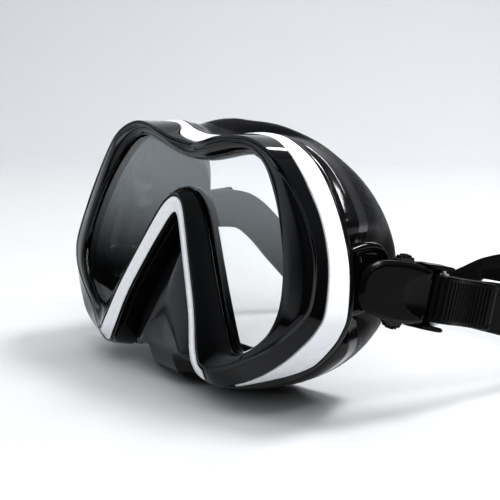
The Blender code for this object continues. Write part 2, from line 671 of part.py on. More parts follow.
for SIDE in SIDES:
    add_mount(SIDE)
    add_pivot_pin(SIDE)
    add_buckle_body(SIDE)
    add_buckle_cover(SIDE)
    add_buttons(SIDE)
    add_pawl(SIDE)
    bar(SIDE, f"strap_roller_{SIDE}", ROLLER_RADIUS, ROLLER_HALF_LENGTH, STEEL,
        bore=ROLLER_PIN_RADIUS + 0.35)
    bar(SIDE, f"roller_pin_{SIDE}", ROLLER_PIN_RADIUS, PIN_HALF_LENGTH, STEEL)
add_strap()
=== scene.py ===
"""Looks of the diving mask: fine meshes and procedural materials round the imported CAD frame, with
a pale studio and the photograph's viewing angle. Shapes are worked out in mm with Y from the
middle of the pane, as the CAD has them, and add_mesh moves them to the frame's origin."""

import math

import bpy
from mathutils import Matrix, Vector


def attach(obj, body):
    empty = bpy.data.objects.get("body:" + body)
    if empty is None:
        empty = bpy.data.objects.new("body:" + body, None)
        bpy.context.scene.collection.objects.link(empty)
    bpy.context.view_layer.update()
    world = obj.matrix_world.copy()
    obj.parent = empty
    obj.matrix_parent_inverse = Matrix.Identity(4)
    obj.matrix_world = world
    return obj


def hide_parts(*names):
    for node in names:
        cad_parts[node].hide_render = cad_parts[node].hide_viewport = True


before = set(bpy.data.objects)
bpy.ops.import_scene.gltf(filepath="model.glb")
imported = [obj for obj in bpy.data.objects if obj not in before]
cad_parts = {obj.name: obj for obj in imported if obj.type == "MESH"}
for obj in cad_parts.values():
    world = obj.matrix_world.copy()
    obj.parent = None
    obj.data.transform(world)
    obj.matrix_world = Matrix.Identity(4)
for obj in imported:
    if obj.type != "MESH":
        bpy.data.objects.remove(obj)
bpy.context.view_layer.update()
SCENE = bpy.context.scene

MM = 0.001
PANE_FROM_ORIGIN = Vector((0, -77.0, -0.2))  # where the pane's foot point lies in the frame
STEPS = 6  # stations between two rows of the outlines
SKIRT_STEPS = 3  # the same for the skirt, which is subdivided afterwards
FILLET_STEPS = 4  # faces across a rounded corner
ROUND_STEPS = 40  # faces round a roller or a pin

PANE_RAKE = math.radians(11.5)
PANE_HEIGHT = 42.0  # height of the pane's centre over the floor
PANE_MARGIN = 2.5  # glass hidden under the bezel
SEAT_OUTSET = 3.3  # from the visible edge of the glass to the bezel's seat round the pane
FIT_GAP = 0.4
OVER_GLASS = 0.45  # gap between the glass and the bezel's lip
BROW_ROWS = (4.5, 7)  # outline rows between which the flatter ridge of the brow fades out
BAND_TIP = 15  # outline row where the accent band ends under the mask
NOSE_START = 17  # outline row where the bottom of the nose leg is rounded
TRIM_START = 16  # outline row where the nose trim begins, under the lens
BAND_THICKNESS = 1.6
BAND_DROP = 0.6  # gap between the bezel's rear face and the accent band
TRIM_DEPTH = 1.2
TRIM_INSET = 0.2  # from the crest down to the trim's bed
TRIM_CROWN = 0.4  # how far the trim's rounded face stands over the ridge
TRIM_LEDGE = 0.17  # share of the facet left black between the trim and the notch
RIDGE_HALF = 0.6  # half width of the ridge where there is no trim
HOLLOW_DEPTH = 7.2  # deepest floor of the frame's hollow, which holds the skirt's front edge
SKIRT_WALL = 1.8
SKIRT_BEAD = 6.0  # depth of the thick ring behind the frame

# Half outlines from the top centre, round the side and up the nose notch to its apex.
# Rows are (across, up in the pane's plane, out of the pane's plane), in mm.
PANE_EDGE = (
    (0, 40.6, 0), (10, 41.3, 0), (20, 43.2, 0), (30, 45.2, 0), (39, 45.6, 0), (47, 42.6, 0),
    (53.5, 36.8, 0), (60, 28.5, 0), (65.5, 18.5, 0), (69.5, 7.5, 0), (70.3, -2.5, 0),
    (67, -10.6, 0), (60.5, -16.4, 0), (55.5, -19.3, 0), (51.5, -20.9, 0), (48, -21, 0),
    (45.3, -19.8, 0), (42.6, -16.8, 0), (34, -5.5, 0), (25, 7.2, 0), (15, 21.5, 0),
    (7.5, 28, 0), (0, 30, 0),
)
CREST = (
    (0, 45.3, 3.2), (11, 46.2, 5.2), (21, 48.5, 6), (30, 49.8, 5.4), (40, 49.9, 4.4),
    (50, 47.4, 3.5), (58, 43.2, 2.6), (66, 36.6, 0.8), (74.5, 26.8, -1.2), (81.2, 14.8, -2.3),
    (83.9, 1.4, -1.7), (80.7, -5.6, -0.6), (74.5, -11.6, 0.3), (66.5, -17.2, 0.6),
    (56, -22.8, 1.5), (45.5, -28, 4), (37.5, -29.2, 6.2), (33.5, -24.5, 7.1), (27.1, -10.6, 6.8),
    (17.9, 4.8, 6.5), (9.0, 18.9, 6.0), (4.6, 24.1, 5.6), (0, 26.0, 5.4),
)
SHOULDER = (
    (0, 46.5, 1.7), (13, 48.3, 0.9), (21.6, 51.5, -4.4), (30.5, 52.4, -6), (41, 51.6, -5.6),
    (50.8, 48.8, -4.4), (59.6, 44.8, -3), (69, 37.7, -3), (78, 27.4, -4), (85, 14.8, -4.3),
    (87.9, 0.5, -4), (86, -6.2, -3.3), (81, -12.4, -2.5), (73, -19.8, -1.4), (62.8, -26.6, 0),
    (50, -31.8, 0.5), (36, -34, 2.8), (28.2, -28.4, 5.6), (22.1, -13.6, 5.8), (12.9, 1.9, 5.5),
    (5.4, 13.4, 5), (2.4, 17.6, 4.8), (0, 19.2, 4.7),
)
REAR_RIM = (
    (0, 50.3, -5.5), (12.6, 51.1, -7), (21.6, 52.6, -8.5), (30, 53.6, -10), (40, 53, -11),
    (50.5, 49.8, -11.5), (59.5, 45.2, -12), (69, 37.9, -12), (78, 27.5, -12.5),
    (85, 14.9, -13.2), (87.9, 0.5, -13.6), (86, -6.4, -13.8), (81, -12.7, -14.3),
    (73, -20.1, -14.2), (62.8, -26.9, -12.2), (50, -32.2, -9), (38, -34.6, -6.5),
    (29, -29.4, -5.2), (22.8, -13.8, -5), (13.6, 1.8, -5), (6, 13.3, -5), (2.8, 17.4, -5),
    (0, 18.9, -5),
)
# Rearmost line of the skirt, where it meets the face, in world axes from the pane's centre.
SEAL_LINE = (
    (0, 33, 52), (10, 33.2, 52), (20, 34.2, 51), (29, 36, 48.5), (38, 38.8, 44.5),
    (44.5, 41.8, 40), (49.5, 45.4, 35.2), (54, 49, 28.2), (58.5, 51.2, 19.6), (62, 52, 9.8),
    (64, 50, 0), (62.5, 49, -9), (58, 47, -17.5), (51, 44, -25), (43, 40.5, -31),
    (35, 37.5, -35.6), (30, 36, -38.4), (25, 34.8, -40), (19, 33.6, -40.6), (13, 32.6, -40.8),
    (7, 32, -40.8), (3.5, 31.8, -40.8), (0, 31.7, -40.8),
)

# Half width, up and out of the four lines under the nose, from the frame back to the face
NOSE_POCKET = ((9.5, -29.5, 0.6), (9, -36.2, -2.4), (10, -39.2, -9), (14, -37.4, -21))
# Hollow in the skirt's side for the buckle: its depth on each line of the skirt, and the
# outline rows between which it begins and ends
DENT_DEPTHS = (0, 0, 0, 1.5, 4, 9.4, 11.4, 12, 11.2, 9.4, 6.5, 2.5, 0, 0, 0)
DENT_UPPER = (7.9, 8.6)
DENT_LOWER = (11.2, 12.2)
GLOSSY_LINES = range(4, 9)  # lines of the thick ring behind the frame
CREASES = {4: 0.7, 5: 0.6, 6: 0.3, 7: 0.85, 8: 0.55, 12: 0.5}  # line of the skirt: sharpness

# Buckles: local axes are out (x), along the strap (y) and across the strap (z)
PIVOT = (81.0, 28.0, PANE_HEIGHT + 4.0)
SWIVEL = {"right": math.radians(-14), "left": math.radians(4)}
SIDES = {"right": 1, "left": -1}
ROLLER_ALONG = 25.5
ROLLER_OUT = 2.6
ROLLER_RADIUS = 2.2
ROLLER_HALF_LENGTH = 8.7
ROLLER_PIN_RADIUS = 1.1
PIN_HALF_LENGTH = 10.9
PAWL_ALONG = 17.4
PAWL_HALF_LENGTH = 8.4
PAWL_OUTLINE = ((1.75, -1.36), (2.83, -1.92), (3.73, -1.28), (4, 0), (3.73, 1.12), (2.56, 1.52),
                (1.66, 0.8))
# Radius and out of the pivot pin: its shank, then its head with a shallow dish
PIN_PROFILE = ((2.9, -4.6), (3.2, -4.3), (3.2, 1.3), (4.5, 1.3), (4.7, 1.5), (4.7, 2.2),
               (4.4, 2.5), (3.8, 2.9), (1.6, 3.0), (1.4, 2.6))
# Half outlines of (along, across) points
COVER_HALF = ((-9.4, 3.8), (-7.8, 6.4), (-3.5, 9), (4, 10), (11, 10), (17, 9.4), (19.6, 9))
PLATE_HALF = ((-6.2, 1.8), (-4.6, 4.6), (-1.6, 6.3), (5, 8.8), (14, 9.8), (16, 10.9), (26, 11.2),
              (28, 11.1), (29, 10.4), (28.6, 9.6), (27.6, 9.2), (19.4, 9.2), (18.6, 8.6))
ARM_HALF = ((19.8, 9.4), (27.4, 9.4), (28.4, 9.8), (28.8, 10.4), (28, 11), (26, 11.1),
            (17, 10.8), (17, 10), (19.8, 10))
# Lowest and highest of each piece, out from the pivot
ARM_OUT = (0.2, 5.2)
BUTTON_OUT = (1.4, 4.2)
COVER_OUT = (4.6, 6.6)
PLATE_OUT = (-1.0, 1.0)
BUTTON_FRONT = ((5.6, 6.4), (5.6, 8), (4.4, 8.8), (4.4, 10.2))  # from the slot to the first rib
BUTTON_REAR = ((12.6, 8.4), (11.4, 7.8), (11.4, 6.4))  # from the last rib back into the slot
BUTTON_RIBS = 5
BUTTON_RIB_STEPS = 8  # edge points for each rib
BUTTON_RIB_HEIGHT = 0.7
BUTTON_SPAN = (5.2, 11.6)  # the ribbed edge, along
BUTTON_CROWN = 11.9  # the ribbed edge at its middle, across
BUTTON_CROWN_FALL = 1.3  # how far it bows back to both ends
SCOOP_CENTRE = (10.4, 22.0)  # out and along of the ellipsoid that hollows the cover
SCOOP_HALF = (5.2, 22.0, 11.5)  # its half size out, along and across
SCOOP_STEPS = 24
# Rows of the mount: along Y, lean, outer face, lowest and highest from the pane's centre, thickness
MOUNT_ROWS = ((16.4, 0.2, 86.2, -7, 14, 2.8), (17.6, 0.16, 84.6, -7, 15.4, 2.8),
              (19, 0.06, 81.4, -6.6, 16.4, 2.6), (20.6, 0, 79.6, -5.8, 17.2, 2.6),
              (24, 0, 79.3, -5.2, 18, 2.6), (28, 0, 79.2, -4.2, 18.3, 2.6),
              (31.5, 0, 79.2, -2.8, 17.6, 2.6), (34, 0, 79.2, -1.2, 15.4, 2.6),
              (35.6, 0, 79.2, 0.4, 12, 2.6))

# Strap
STRAP_THICKNESS = 2.0
STRAP_WIDTH = 16.0
PAD_WIDTH = 32.0
TAIL_LENGTH = {"right": 26.0, "left": 24.0}
LAYER_GAP = 0.6
STRAP_BACK = 165.0  # how far the rear pad reaches behind the pane's centre
SLOT_HALF = 3.0  # half height of the slot in the pad
SLOT_END = 19.0  # centre of the slot's round end
# Centre line of the strap from the left buckle round the head to the right one: a point, the
# direction across the strap, and its width
STRAP_ROUTE = (
    ((-79.6, 80.5, 47), (0, 0.3, 1), 16),
    ((-79, 89.5, 40), (0, 1, 1), 16),
    ((-77, 99, 28.6), (0, 1, 0.9), 16),
    ((-73.4, 110.5, 17.4), (0.1, 0.8, 1), 16.5),
    ((-65.5, 127, 11.2), (0, 0.3, 1), 17),
    ((-52, 144.5, 9.4), (0, 0, 1), 17),
    ((-34, 157.5, 10.6), (0, 0, 1), 19.6),
    ((-16, 163.4, 14.8), (0, 0, 1), 28),
    ((0, STRAP_BACK, PAD_WIDTH / 2 + 0.4), (0, 0, 1), PAD_WIDTH),
    ((16, 163.4, 15.8), (0, 0, 1), 30),
    ((34, 157.5, 13.8), (0, 0, 1), 24),
    ((52, 144.5, 15.6), (0, 0.1, 1), 20),
    ((65.5, 128, 19.8), (0, 0.2, 1), 19),
    ((73.6, 110.5, 24.6), (0, 0.24, 1), 18.6),
    ((77.8, 94, 29.2), (0, 0.26, 1), 18.4),
    ((79.6, 80, 33), (0, 0.24, 1), 17.4),
)
RIB_PITCH = 1.7
RIB_HEIGHT = 0.45
RIB_LENGTH = 40.0  # ribbed length from each tail's end, round the roller
RIB_START = 2.4  # plain length at the tail's end
STRAP_SPACING = 0.28  # between two sections, fine enough for the ribs
TAIL_ROUNDING = 1.2  # length over which the tail's end is rounded off

# Studio, in metres
CAMERA_PLACE = Vector((0.4697, -0.3401, 0.1401))
CAMERA_AHEAD = Vector((-0.835, 0.524, -0.167))
LENS = 109.3
LENS_SHIFT = -0.002
AHEAD = Vector((CAMERA_AHEAD.x, CAMERA_AHEAD.y, 0)).normalized()
ACROSS = Vector((-AHEAD.y, AHEAD.x, 0))
SWEEP_FLOOR = (-2.4, -0.8, 0.0, 0.565)  # rows of the floor, the last where it begins to rise
SWEEP_SIDES = (-3.6, -1.4, 0.0, 1.4)  # lines along it, wider on the side that other views show
SWEEP_RADIUS = 0.7
SWEEP_STEPS = 18
SWEEP_TOP = 2.2
FLOOR_TONE = (0.62, 0.625, 0.635)
# The upright backdrop gets less light than the floor; its greyer tone is painted shade.
SHADED_WALL_TONE = (0.585, 0.59, 0.61)  # painted shade: the backdrop is painted greyer than the floor
TONE_STEP = (0.0004, 0.004)  # heights between which the floor's tone turns into the backdrop's painted shade
ROOM_COLOUR = (0.9, 0.98, 1.04)
ROOM_POWER = 0.01
EMPTY_COLOUR = (0.93, 0.935, 0.945)  # past the sweep's edges
CEILING_POWER = 0.3
CEILING_EDGE = (0.25, 0.85)  # heights of view between which it brightens
CARD_POWER = 1.05
CARD_TOWARDS = (-0.836, -0.549, 0)
CARD_EDGE = (0.72, 0.93)  # how squarely a direction has to face the card
CARD_FOOT = (0.005, 0.09)  # heights of view between which it begins
MASK_MIDDLE = (0, -0.05, 0.05)  # where the small lights point


# --- materials ------------------------------------------------------------------------------


class Look:
    """A node material under construction, with short ways to add nodes in object coordinates."""

    def __init__(self, name, **sockets):
        self.material = bpy.data.materials.new(name)
        self.material.use_nodes = True
        self.nodes = self.material.node_tree.nodes
        self.links = self.material.node_tree.links
        self.shader = self.nodes["Principled BSDF"]
        for socket, value in sockets.items():
            self.shader.inputs[socket.replace("_", " ")].default_value = value
        self.place = self.nodes.new("ShaderNodeTexCoord").outputs["Object"]

    def noise(self, scale, detail=3.0, stretch=(1, 1, 1)):
        mapping = self.nodes.new("ShaderNodeMapping")
        mapping.inputs["Scale"].default_value = stretch
        self.links.new(self.place, mapping.inputs["Vector"])
        texture = self.nodes.new("ShaderNodeTexNoise")
        texture.inputs["Scale"].default_value = scale
        texture.inputs["Detail"].default_value = detail
        self.links.new(mapping.outputs["Vector"], texture.inputs["Vector"])
        return texture.outputs["Fac"]

    def spread(self, value, low, high, start=0.35, end=0.65):
        node = self.nodes.new("ShaderNodeMapRange")
        for socket, number in (("From Min", start), ("From Max", end), ("To Min", low),
                               ("To Max", high)):
            node.inputs[socket].default_value = number
        self.links.new(value, node.inputs["Value"])
        return node.outputs["Result"]

    def colours(self, value, first, second, start=0.35, end=0.65):
        ramp_node = self.nodes.new("ShaderNodeValToRGB")
        for stop, (position, colour) in zip(ramp_node.color_ramp.elements,
                                            ((start, first), (end, second))):
            stop.position = position
            stop.color = (*colour, 1)
        self.links.new(value, ramp_node.inputs["Fac"])
        self.links.new(ramp_node.outputs["Color"], self.shader.inputs["Base Color"])

    def roughness(self, value, low, high):
        self.links.new(self.spread(value, low, high), self.shader.inputs["Roughness"])

    def bumps(self, *layers):
        """Each layer is (height, strength, distance in mm)."""
        normal = None
        for height, strength, distance in layers:
            bump = self.nodes.new("ShaderNodeBump")
            bump.inputs["Strength"].default_value = strength
            bump.inputs["Distance"].default_value = distance * MM
            self.links.new(height, bump.inputs["Height"])
            if normal:
                self.links.new(normal, bump.inputs["Normal"])
            normal = bump.outputs["Normal"]
        self.links.new(normal, self.shader.inputs["Normal"])

    def worn_edges(self, first, second):
        """Convex edges rub a little lighter than the faces."""
        pointed = self.nodes.new("ShaderNodeNewGeometry").outputs["Pointiness"]
        self.colours(pointed, first, second, 0.52, 0.6)


def gloss_black():
    look = Look("gloss_black_polymer", Specular_IOR_Level=0.3)
    look.worn_edges((0.0035, 0.0035, 0.004), (0.014, 0.014, 0.016))
    look.roughness(look.noise(180, 5), 0.035, 0.08)
    look.bumps((look.noise(220, 2), 0.05, 0.05), (look.noise(5200, 2), 0.04, 0.01))
    return look.material


# A darker copy of the gloss black: a little rougher, with painted shade in its lower reflection and
# slightly darker colour, for faces that reflect a dark room.
def shaded_satin_black():
    look = Look("satin_black_painted_shade", Specular_IOR_Level=0.12)
    look.worn_edges((0.002, 0.002, 0.0024), (0.01, 0.01, 0.012))
    look.roughness(look.noise(240, 4), 0.14, 0.22)
    look.bumps((look.noise(260, 3), 0.06, 0.05), (look.noise(5200, 2), 0.08, 0.01))
    return look.material


def white_polymer():
    look = Look("white_polymer")
    look.colours(look.noise(60, 2), (0.77, 0.785, 0.81), (0.785, 0.798, 0.822), 0.2, 0.8)
    look.roughness(look.noise(120, 3), 0.25, 0.29)
    look.bumps((look.noise(3600, 2), 0.05, 0.02))
    return look.material


def gloss_silicone():
    look = Look("gloss_silicone", Specular_IOR_Level=0.3)
    look.colours(look.noise(140, 4), (0.004, 0.004, 0.005), (0.008, 0.008, 0.009))
    look.roughness(look.noise(260, 4), 0.1, 0.2)
    look.bumps((look.noise(90, 3), 0.35, 0.4), (look.noise(2600, 3), 0.08, 0.02))
    return look.material


def matte_silicone():
    look = Look("matte_silicone", Specular_IOR_Level=0.1)
    look.colours(look.noise(160, 5), (0.002, 0.002, 0.0024), (0.004, 0.004, 0.0046))
    look.roughness(look.noise(500, 4), 0.3, 0.44)
    look.bumps((look.noise(90, 3), 0.25, 0.3), (look.noise(4200, 2), 0.35, 0.04))
    return look.material


def strap_silicone():
    look = Look("strap_silicone", Specular_IOR_Level=0.08)
    look.colours(look.noise(200, 4), (0.003, 0.003, 0.0034), (0.004, 0.004, 0.0046))
    look.roughness(look.noise(150, 3), 0.3, 0.36)
    look.bumps((look.noise(3800, 2), 0.12, 0.02))
    return look.material


def brushed_steel():
    look = Look("brushed_steel", Metallic=1.0)
    brushed = look.noise(600, 3, (1, 1, 14))
    look.colours(brushed, (0.42, 0.42, 0.43), (0.62, 0.62, 0.63))
    look.roughness(brushed, 0.22, 0.4)
    look.bumps((brushed, 0.1, 0.02))
    return look.material


def tempered_glass():
    look = Look("tempered_glass", IOR=1.6, Transmission_Weight=1.0)
    look.colours(look.noise(12, 2), (0.955, 0.97, 0.968), (0.975, 0.985, 0.983))
    look.roughness(look.noise(30, 3), 0.0, 0.004)
    return look.material


# --- outlines -------------------------------------------------------------------------------


def lerp(a, b, t):
    return tuple(x + (y - x) * t for x, y in zip(a, b))


def mirrored(p):
    return (-p[0], *p[1:])


def spline_point(a, b, c, d, t):
    """Catmull-Rom between b and c."""
    return tuple(
        0.5 * (2 * q + (r - p) * t + (2 * p - 5 * q + 4 * r - s) * t**2
               + (3 * q - p - 3 * r + s) * t**3)
        for p, q, r, s in zip(a, b, c, d)
    )


def smooth_line(rows, before, after, steps):
    line = [before, *rows, after]
    found = []
    for i in range(1, len(line) - 2):
        found += [spline_point(*line[i - 1:i + 3], k / steps) for k in range(steps)]
    return [*found, rows[-1]]


def half_outline(rows, steps=STEPS):
    return smooth_line(rows, mirrored(rows[1]), mirrored(rows[-2]), steps)


def outset(line, distance):
    """Moves a half outline sideways in the pane's plane, away from the glass."""
    around = [mirrored(line[1]), *line, mirrored(line[-2])]
    moved = []
    for before, (u, v, w), after in zip(around, line, around[2:]):
        across, up = after[0] - before[0], after[1] - before[1]
        length = math.hypot(across, up)
        moved.append((u - up / length * distance, v + across / length * distance, w))
    return moved


def each(value, line):
    """One value for every station of a line, from a list of them or from a single number."""
    return value if isinstance(value, list) else [value] * len(line)


def at_depth(line, depth):
    """Keeps a line's outline in the pane's plane, and gives it new depths."""
    return [(u, v, w) for (u, v, _), w in zip(line, each(depth, line))]


def raised(line, by):
    """Moves a line out of the pane's plane."""
    return [(u, v, w + h) for (u, v, w), h in zip(line, each(by, line))]


def deeper(line, by):
    return raised(line, -by)


def mixed(first, second, share):
    return [lerp(a, b, t) for a, b, t in zip(first, second, each(share, first))]


def whole(half):
    return half + [mirrored(p) for p in half[-2:0:-1]]


def to_world(p):
    u, v, w = p
    sine, cosine = math.sin(PANE_RAKE), math.cos(PANE_RAKE)
    return (u, v * sine - w * cosine, PANE_HEIGHT + v * cosine + w * sine)


def to_pane(p):
    """The inverse of to_world for a point measured from the pane's centre."""
    x, y, z = p
    sine, cosine = math.sin(PANE_RAKE), math.cos(PANE_RAKE)
    return (x, y * sine + z * cosine, z * sine - y * cosine)


def outset_by(line, distances):
    nearest = outset(line, 1.0)
    return [(u + (x - u) * d, v + (y - v) * d, w)
            for (u, v, w), (x, y, _), d in zip(line, nearest, distances)]


def ramp(start, end, steps=STEPS):
    """0 before one outline row, 1 after another, for every station."""
    last = (len(PANE_EDGE) - 1) * steps
    rows = [i / steps for i in range(last + 1)]
    shares = [min(1.0, max(0.0, (row - start) / (end - start))) for row in rows]
    return [t * t * (3 - 2 * t) for t in shares]


# --- meshes ---------------------------------------------------------------------------------


def volume_of(mesh):
    mesh.calc_loop_triangles()
    total = 0.0
    for triangle in mesh.loop_triangles:
        a, b, c = (mesh.vertices[i].co for i in triangle.vertices)
        total += a.dot(b.cross(c))
    return total


def add_object(name, data):
    obj = bpy.data.objects.new(name, data)
    SCENE.collection.objects.link(obj)
    return obj


def smooth_mesh(name, points, faces, looks):
    mesh = bpy.data.meshes.new(name)
    mesh.from_pydata(points, [], faces)
    mesh.shade_smooth()
    for look in looks:
        mesh.materials.append(look)
    return mesh


def add_mesh(name, points, faces, looks, closed=True):
    """A smooth piece from points in mm; a closed one is turned right side out."""
    places = [(Vector(p) + PANE_FROM_ORIGIN) * MM for p in points]
    mesh = smooth_mesh(name, places, faces, looks)
    if closed and volume_of(mesh) < 0:
        mesh.flip_normals()
    return add_object(name, mesh)


def loft(lines, closed_across):
    """Quads between neighbouring lines of points, each line being a closed loop."""
    count = len(lines[0])
    points = [p for line in lines for p in line]
    faces = []
    for k in range(len(lines) if closed_across else len(lines) - 1):
        here, there = k * count, (k + 1) % len(lines) * count
        for i in range(count):
            j = (i + 1) % count
            faces.append((here + i, here + j, there + j, there + i))
    return points, faces


def capped(lines):
    points, faces = loft(lines, False)
    count = len(lines[0])
    last = len(points) - count
    faces += [tuple(range(count - 1, -1, -1)), tuple(range(last, last + count))]
    return points, faces


def curved(start, corner, end, t):
    """Quadratic Bezier."""
    return lerp(lerp(start, corner, t), lerp(corner, end, t), t)


def stepped_towards(start, end, distance):
    """A point some way from start to end, at most 45% of the way."""
    return lerp(start, end, min(distance / max(math.dist(start, end), 1e-6), 0.45))


def filleted(lines, radii):
    """Rounds the corners of a closed section; each line holds one corner at every station."""
    rounded = []
    for k, (line, radius) in enumerate(zip(lines, radii)):
        before, after = lines[k - 1], lines[(k + 1) % len(lines)]
        corners = [(stepped_towards(b, a, radius), b, stepped_towards(b, c, radius))
                   for a, b, c in zip(before, line, after)]
        rounded += [[curved(*corner, step / FILLET_STEPS) for corner in corners]
                    for step in range(FILLET_STEPS + 1)]
    return rounded


def even_normals(obj):
    modifier = obj.modifiers.new("even_normals", "WEIGHTED_NORMAL")
    modifier.weight = 60
    return obj


def baked(obj):
    """Applies the object's modifiers to its mesh."""
    bpy.context.view_layer.update()
    graph = bpy.context.evaluated_depsgraph_get()
    mesh = bpy.data.meshes.new_from_object(obj.evaluated_get(graph))
    obj.modifiers.clear()
    obj.data = mesh
    return obj


def cut_from(obj, cutter):
    modifier = obj.modifiers.new("cut", "BOOLEAN")
    modifier.operation = "DIFFERENCE"
    modifier.solver = "EXACT"
    modifier.object = cutter
    baked(obj)
    bpy.data.objects.remove(cutter)
    obj.data.set_sharp_from_angle(angle=math.radians(40))
    return obj


def settled(obj, node, body):
    """The piece stands for a CAD node, whose part it hides, and rides on its body."""
    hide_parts(node)
    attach(obj, body)
    return obj


def solid(name, lines, look):
    """A closed piece through a row of loops, with flat ends."""
    return even_normals(add_mesh(name, *capped(lines), [look]))


def ring(name, halves, radii, look):
    lines = [[to_world(p) for p in whole(half)] for half in filleted(halves, radii)]
    return even_normals(add_mesh(name, *loft(lines, True), [look]))


def strip_over_centre(name, halves, radii, last, look):
    """A strip along the outline from one side's end, across the centre, to the other side's."""
    lines = filleted(halves, radii)
    right = [[to_world(line[i]) for line in lines] for i in range(last + 1)]
    left = [[to_world(mirrored(line[i])) for line in lines] for i in range(last, 0, -1)]
    return solid(name, left + right, look)


# --- front ----------------------------------------------------------------------------------


def trim_recess():
    return [TRIM_DEPTH * t for t in ramp(TRIM_START - 0.5, TRIM_START)]


def trim_edge(crest):
    """The outer side of the ridge, which draws back from the crest to make room for the trim."""
    share = [d / TRIM_DEPTH for d in trim_recess()]
    return outset_by(crest, [RIDGE_HALF + (TRIM_INSET - RIDGE_HALF) * t for t in share])


def under_edge(shoulder):
    """The bezel's rear outer corner, a little inside its shoulder."""
    return deeper(outset(shoulder, -0.3), 0.5)


def seat_line(pane):
    """The bezel's rear inner corner, past the pane's hidden edge."""
    return at_depth(outset(pane, SEAT_OUTSET), OVER_GLASS)


def add_bezel(pane, crest, shoulder, look):
    """The front ring: a lip over the glass, a soft inner ridge, a groove and the outer ridge."""
    sunk = [-d for d in trim_recess()]
    brow = [1 - t for t in ramp(*BROW_ROWS)]
    slope = at_depth(outset(pane, 0.35), 1.5)
    trim_low = raised(shoulder, sunk)
    halves = [
        at_depth(pane, OVER_GLASS),
        slope,
        raised(mixed(slope, crest, 0.2), 0.55),
        raised(mixed(slope, crest, 0.5), [0.55 - 0.45 * t for t in brow]),
        raised(mixed(slope, crest, 0.74), [0.4 - 1.15 * t for t in brow]),
        raised(outset(crest, -1.2), -0.1),
        raised(trim_edge(crest), sunk),
        trim_low,
        under_edge(trim_low),
        seat_line(pane),
    ]
    radii = (0.15, 0.4, 1.6, 2, 1.2, 0.7, 0.3, 0.2, 0.15, 0.2)
    return ring("bezel_ring", halves, radii, look)


def add_nose_trim(crest, shoulder, look):
    """The white inlay on the facet that falls from the nose's ridge into the notch."""
    outer, inner = outset(crest, TRIM_INSET + 0.15), mixed(shoulder, crest, TRIM_LEDGE)
    last = len(crest) - 1
    first = TRIM_START * STEPS
    crown = raised(mixed(outer, inner, 0.35), TRIM_CROWN)
    fall = raised(inner, -0.4)
    sections = (raised(outer, TRIM_CROWN / 2), crown, fall, deeper(inner, 0.85),
                deeper(outer, 0.85))
    halves = [line[first:][::-1] for line in sections]
    radii = (0.3, 1.8, 0.5, 0.1, 0.1)
    return strip_over_centre("nose_inlay", halves, radii, last - first, look)


def parting(pane, shoulder, inwards, drop):
    """A line under the bezel, some way in from its edge and a little below its rear face."""
    edge = raised(under_edge(shoulder), [-d for d in trim_recess()])
    line = [lerp(a, b, d / math.dist(a, b))
            for a, b, d in zip(edge, seat_line(pane), each(inwards, pane))]
    return deeper(line, drop)


def band_depths(pane, shoulder, rim):
    """Depths of the accent band's two edges, which close together towards its tip."""
    front = [w for _, _, w in parting(pane, shoulder, 0, BAND_DROP)]
    rear = [w + 0.3 for _, _, w in rim]
    closing = ramp(BAND_TIP - 2.2, BAND_TIP)
    rear = [b + (f - 1.2 - b) * t for f, b, t in zip(front, rear, closing)]
    return front, rear


def add_accent_band(pane, shoulder, rim, look):
    front, rear = band_depths(pane, shoulder, rim)
    head = at_depth(shoulder, front)
    tail = at_depth(mixed(shoulder, rim, 0.9), rear)
    inner_head = parting(pane, shoulder, BAND_THICKNESS - 0.3, BAND_DROP)
    crown = outset(mixed(head, tail, 0.5), 0.15)
    halves = [head, inner_head, outset(tail, -BAND_THICKNESS), tail, crown]
    radii = (0.35, 0.1, 0.1, 0.35, 3)
    return strip_over_centre("side_band", halves, radii, BAND_TIP * STEPS, look)


def hollow_floor(rim):
    """Depth of the frame's hollow all the way round."""
    return [max(-HOLLOW_DEPTH, w - 1.5) for _, _, w in rim]


def add_frame(pane, shoulder, rim, look):
    """The ring behind the pane: a bed under the bezel and the band, and a hollow for the skirt."""
    _, rear = band_depths(pane, shoulder, rim)
    rear = [w - FIT_GAP for w in rear]
    ending = ramp(BAND_TIP, BAND_TIP + 0.6)
    bed = [(BAND_THICKNESS + FIT_GAP) * (1 - t) + 0.25 * t for t in ending]
    nose = ramp(BAND_TIP + 0.5, BAND_TIP + 1.5)
    back = deeper(rim, 1.8)
    hollow = hollow_floor(rim)
    rebate = outset(pane, PANE_MARGIN + FIT_GAP)
    halves = [
        at_depth(rebate, -0.6),
        at_depth(rebate, hollow),
        at_depth(outset_by(mixed(shoulder, rim, 0.95), [-4.4 + 2 * t for t in nose]), hollow),
        outset_by(back, [-4 + 2.2 * t for t in nose]),
        back,
        at_depth(mixed(shoulder, rim, 0.95), rear),
        at_depth(outset_by(mixed(shoulder, rim, 0.9), [-d for d in bed]), rear),
        parting(pane, shoulder, [d - 0.2 for d in bed], 2 * FIT_GAP),
    ]
    return ring("rear_ring", halves, (0.1, 0.1, 0.1, 0.3, 0.7, 0.25, 0.1, 0.1), look)


# --- skirt ----------------------------------------------------------------------------------


